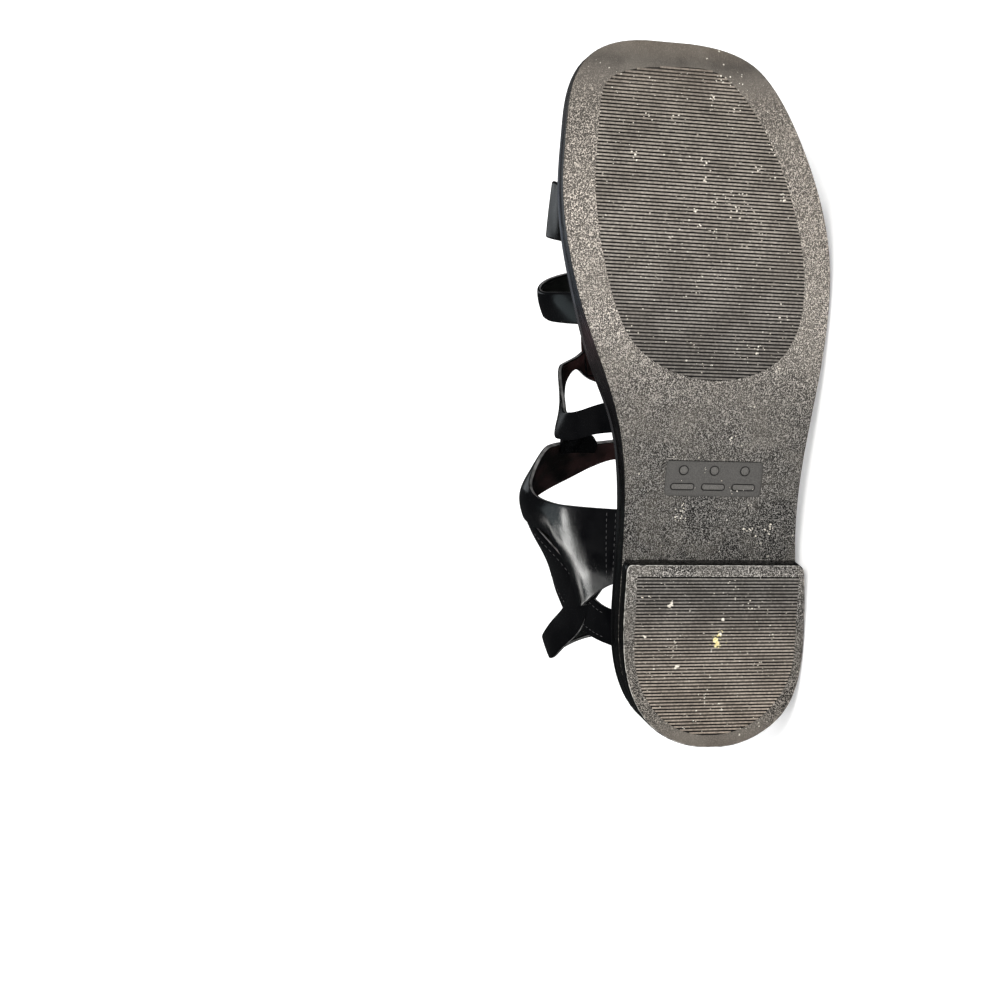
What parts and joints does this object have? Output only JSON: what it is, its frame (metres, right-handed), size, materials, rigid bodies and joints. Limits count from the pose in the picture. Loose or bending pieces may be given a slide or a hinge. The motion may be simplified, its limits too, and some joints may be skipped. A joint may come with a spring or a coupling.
{
  "type": "fisherman sandal",
  "caption": "Low open-toed sandal lying on its outer side: square-toed ribbed rubber sole with a low heel block, wrapped edge, and a cage of smooth leather straps with a heel sling",
  "frame": {"origin": "centre of the bounding box's base, on the floor that the sandal lies on", "axes": "+X runs from heel to toe, +Y from the tread to the top of the straps, +Z from the outer side on the floor up to the inner side"},
  "size_m": [0.2578, 0.1162, 0.1047],
  "materials": {
    "tread_rubber": "stippled, dusty and worn",
    "edge_leather": "smooth, polished",
    "lining": "matt, worn smooth",
    "strap_leather": "smooth, soft sheen"
  },
  "bodies": {
    "root": {"outsole": "tread_rubber", "heel_block": "tread_rubber", "midsole": "edge_leather", "insole": "lining", "upper": "strap_leather"}
  },
  "joints": []
}
